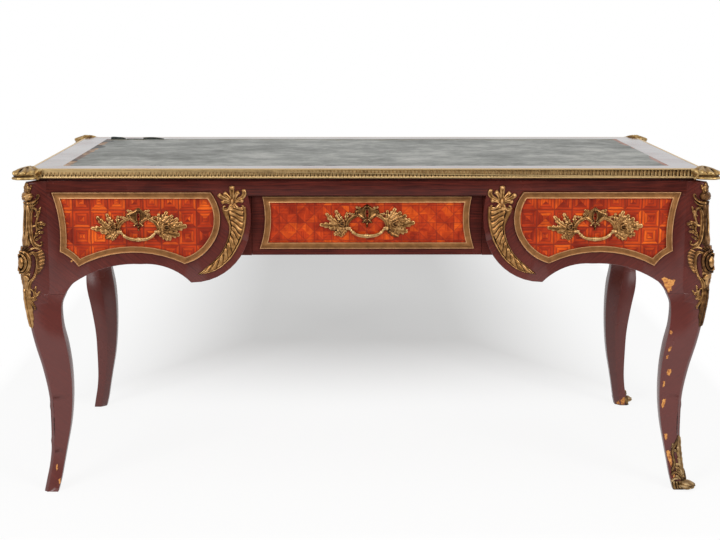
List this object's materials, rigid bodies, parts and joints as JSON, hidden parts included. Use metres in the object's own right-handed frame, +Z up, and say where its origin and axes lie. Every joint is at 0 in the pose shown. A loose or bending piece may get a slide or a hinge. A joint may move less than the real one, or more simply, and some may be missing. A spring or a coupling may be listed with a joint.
{
  "type": "writing table",
  "caption": "Bureau plat: a low writing table with a kneehole, drawers across the front, cabriole legs, parquetry panels, bronze mounts and a leather-lined top.",
  "frame": {"origin": "centre of the table's footprint, on the floor", "axes": "+X along the front towards the right-hand drawer as seen by the sitter, +Y away from the sitter, +Z up"},
  "size_m": [1.64, 0.892, 0.787],
  "materials": {
    "veneered_wood": "french polished dark red-brown veneer",
    "oak": "bare oak",
    "parquetry": "polished orange-red parquetry",
    "gilt_bronze": "worn gilt bronze",
    "brass": "satin brass",
    "steel": "old steel screws",
    "leather": "worn dark grey-green leather"
  },
  "bodies": {
    "carcase": {"leg_front_left": "veneered_wood", "leg_front_right": "veneered_wood", "leg_back_left": "veneered_wood", "leg_back_right": "veneered_wood", "front_rail": "veneered_wood", "pedestal_front_left": "veneered_wood", "pedestal_front_right": "veneered_wood", "divider_left": "veneered_wood", "divider_right": "veneered_wood", "side_panel_left": "veneered_wood", "side_panel_right": "veneered_wood", "back_panel": "veneered_wood", "top_board": "veneered_wood", "drawer_runners": "oak", "kicker_rails": "oak", "panel_frames": "gilt_bronze", "rim_band": "gilt_bronze", "clasp_front_left": "gilt_bronze", "clasp_front_right": "gilt_bronze", "clasp_back_left": "gilt_bronze", "clasp_back_right": "gilt_bronze", "chute_front_left": "gilt_bronze", "chute_front_right": "gilt_bronze", "chute_back_left": "gilt_bronze", "chute_back_right": "gilt_bronze", "horn_left": "gilt_bronze", "horn_right": "gilt_bronze", "horns_back": "gilt_bronze", "sabot_front_right": "gilt_bronze", "sabot_back_right": "gilt_bronze", "panel_parquetry": "parquetry", "top_screws": "steel", "leather_top": "leather"},
    "drawer_left": {"drawer_front_left": "veneered_wood", "drawer_case_left": "oak", "drawer_bottom_left": "oak", "drawer_panel_left": "parquetry", "drawer_frame_left": "gilt_bronze", "handle_left": "gilt_bronze", "lock_left": "brass"},
    "bail_left": {"bail_left": "gilt_bronze"},
    "bolt_left": {"bolt_left": "brass"},
    "drawer_centre": {"drawer_front_centre": "veneered_wood", "drawer_case_centre": "oak", "drawer_bottom_centre": "oak", "drawer_panel_centre": "parquetry", "drawer_frame_centre": "gilt_bronze", "handle_centre": "gilt_bronze", "lock_centre": "brass"},
    "bail_centre": {"bail_centre": "gilt_bronze"},
    "bolt_centre": {"bolt_centre": "brass"},
    "drawer_right": {"drawer_front_right": "veneered_wood", "drawer_case_right": "oak", "drawer_bottom_right": "oak", "drawer_panel_right": "parquetry", "drawer_frame_right": "gilt_bronze", "handle_right": "gilt_bronze", "lock_right": "brass"},
    "bail_right": {"bail_right": "gilt_bronze"},
    "bolt_right": {"bolt_right": "brass"}
  },
  "joints": [
    {"name": "drawer_left_slide", "type": "slide", "parent": "carcase", "child": "drawer_left", "axis": [0, -1, 0], "range_m": [0, 0.4]},
    {"name": "bail_left_swing", "type": "hinge", "parent": "drawer_left", "child": "bail_left", "pos_m": [-0.533, -0.409, 0.6325], "axis": [-1, 0, 0], "range_deg": [0, 80]},
    {"name": "bolt_left_slide", "type": "slide", "parent": "drawer_left", "child": "bolt_left", "axis": [0, 0, 1], "range_m": [0, 0.008]},
    {"name": "drawer_centre_slide", "type": "slide", "parent": "carcase", "child": "drawer_centre", "axis": [0, -1, 0], "range_m": [0, 0.4]},
    {"name": "bail_centre_swing", "type": "hinge", "parent": "drawer_centre", "child": "bail_centre", "pos_m": [0, -0.387, 0.637], "axis": [-1, 0, 0], "range_deg": [0, 80]},
    {"name": "bolt_centre_slide", "type": "slide", "parent": "drawer_centre", "child": "bolt_centre", "axis": [0, 0, 1], "range_m": [0, 0.008]},
    {"name": "drawer_right_slide", "type": "slide", "parent": "carcase", "child": "drawer_right", "axis": [0, -1, 0], "range_m": [0, 0.4]},
    {"name": "bail_right_swing", "type": "hinge", "parent": "drawer_right", "child": "bail_right", "pos_m": [0.533, -0.409, 0.6325], "axis": [-1, 0, 0], "range_deg": [0, 80]},
    {"name": "bolt_right_slide", "type": "slide", "parent": "drawer_right", "child": "bolt_right", "axis": [0, 0, 1], "range_m": [0, 0.008]}
  ]
}
